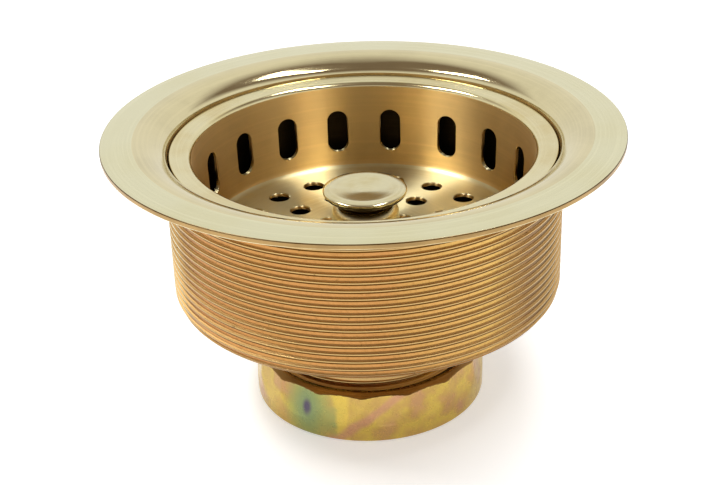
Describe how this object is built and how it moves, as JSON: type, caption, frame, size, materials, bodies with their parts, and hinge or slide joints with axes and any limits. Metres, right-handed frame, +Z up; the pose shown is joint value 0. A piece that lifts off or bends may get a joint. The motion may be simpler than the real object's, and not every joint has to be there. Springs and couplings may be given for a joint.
{
  "type": "kitchen sink drain",
  "caption": "Brass basket strainer for a kitchen sink: wide flange, threaded cup, lift-out slotted basket with knob and rubber stopper, and a plated coupling nut.",
  "frame": {"origin": "middle of the coupling nut's foot, the face that the drain stands on", "axes": "+Z up along the drain's axis, from the outlet to the flange; -Y is the side that the picture was taken from"},
  "size_m": [0.1142, 0.1142, 0.065],
  "materials": {
    "body_brass": "brushed",
    "basket_brass": "brushed",
    "knob_brass": "brushed",
    "stem_brass": "turned",
    "plated_steel": "yellow zinc plated",
    "catch_steel": "polished",
    "seal_rubber": "matte",
    "washer_plastic": "satin"
  },
  "bodies": {
    "drain": {"strainer_body": "body_brass"},
    "washer": {"tailpiece_washer": "washer_plastic"},
    "nut": {"coupling_nut": "plated_steel"},
    "stem": {"stopper_stem": "stem_brass", "basket_knob": "knob_brass", "stopper_seal": "seal_rubber", "seal_upper_plate": "stem_brass", "seal_lower_plate": "stem_brass", "stem_nut": "stem_brass", "detent_spring": "catch_steel"},
    "basket": {"basket_cup": "basket_brass"},
    "ball_left": {"detent_ball_left": "catch_steel"},
    "ball_right": {"detent_ball_right": "catch_steel"}
  },
  "joints": [
    {"name": "basket_lift", "type": "slide", "parent": "drain", "child": "stem", "axis": [0, 0, 1], "range_m": [0, 0.07]},
    {"name": "basket_turn", "type": "hinge", "parent": "stem", "child": "basket", "pos_m": [0, 0, 0.0385], "axis": [0, 0, 1], "continuous": true},
    {"name": "nut_drop", "type": "slide", "parent": "drain", "child": "washer", "axis": [0, 0, -1], "range_m": [0, 0.0089]},
    {"name": "nut_turn", "type": "hinge", "parent": "washer", "child": "nut", "pos_m": [0, 0, 0.006], "axis": [0, 0, -1], "range_deg": [0, 1440]},
    {"name": "ball_left_press", "type": "slide", "parent": "stem", "child": "ball_left", "axis": [1, 0, 0], "range_m": [0, 0.0007], "stiffness_N_per_m": 900, "springref_m": -0.0007, "deforming": ["detent_spring"]},
    {"name": "ball_right_press", "type": "slide", "parent": "stem", "child": "ball_right", "axis": [-1, 0, 0], "range_m": [0, 0.0007], "stiffness_N_per_m": 900, "springref_m": -0.0007, "deforming": ["detent_spring"]}
  ],
  "couplings": [
    {"joint": "nut_drop", "follows": "nut_turn", "m_per_rad": 0.00035157}
  ]
}
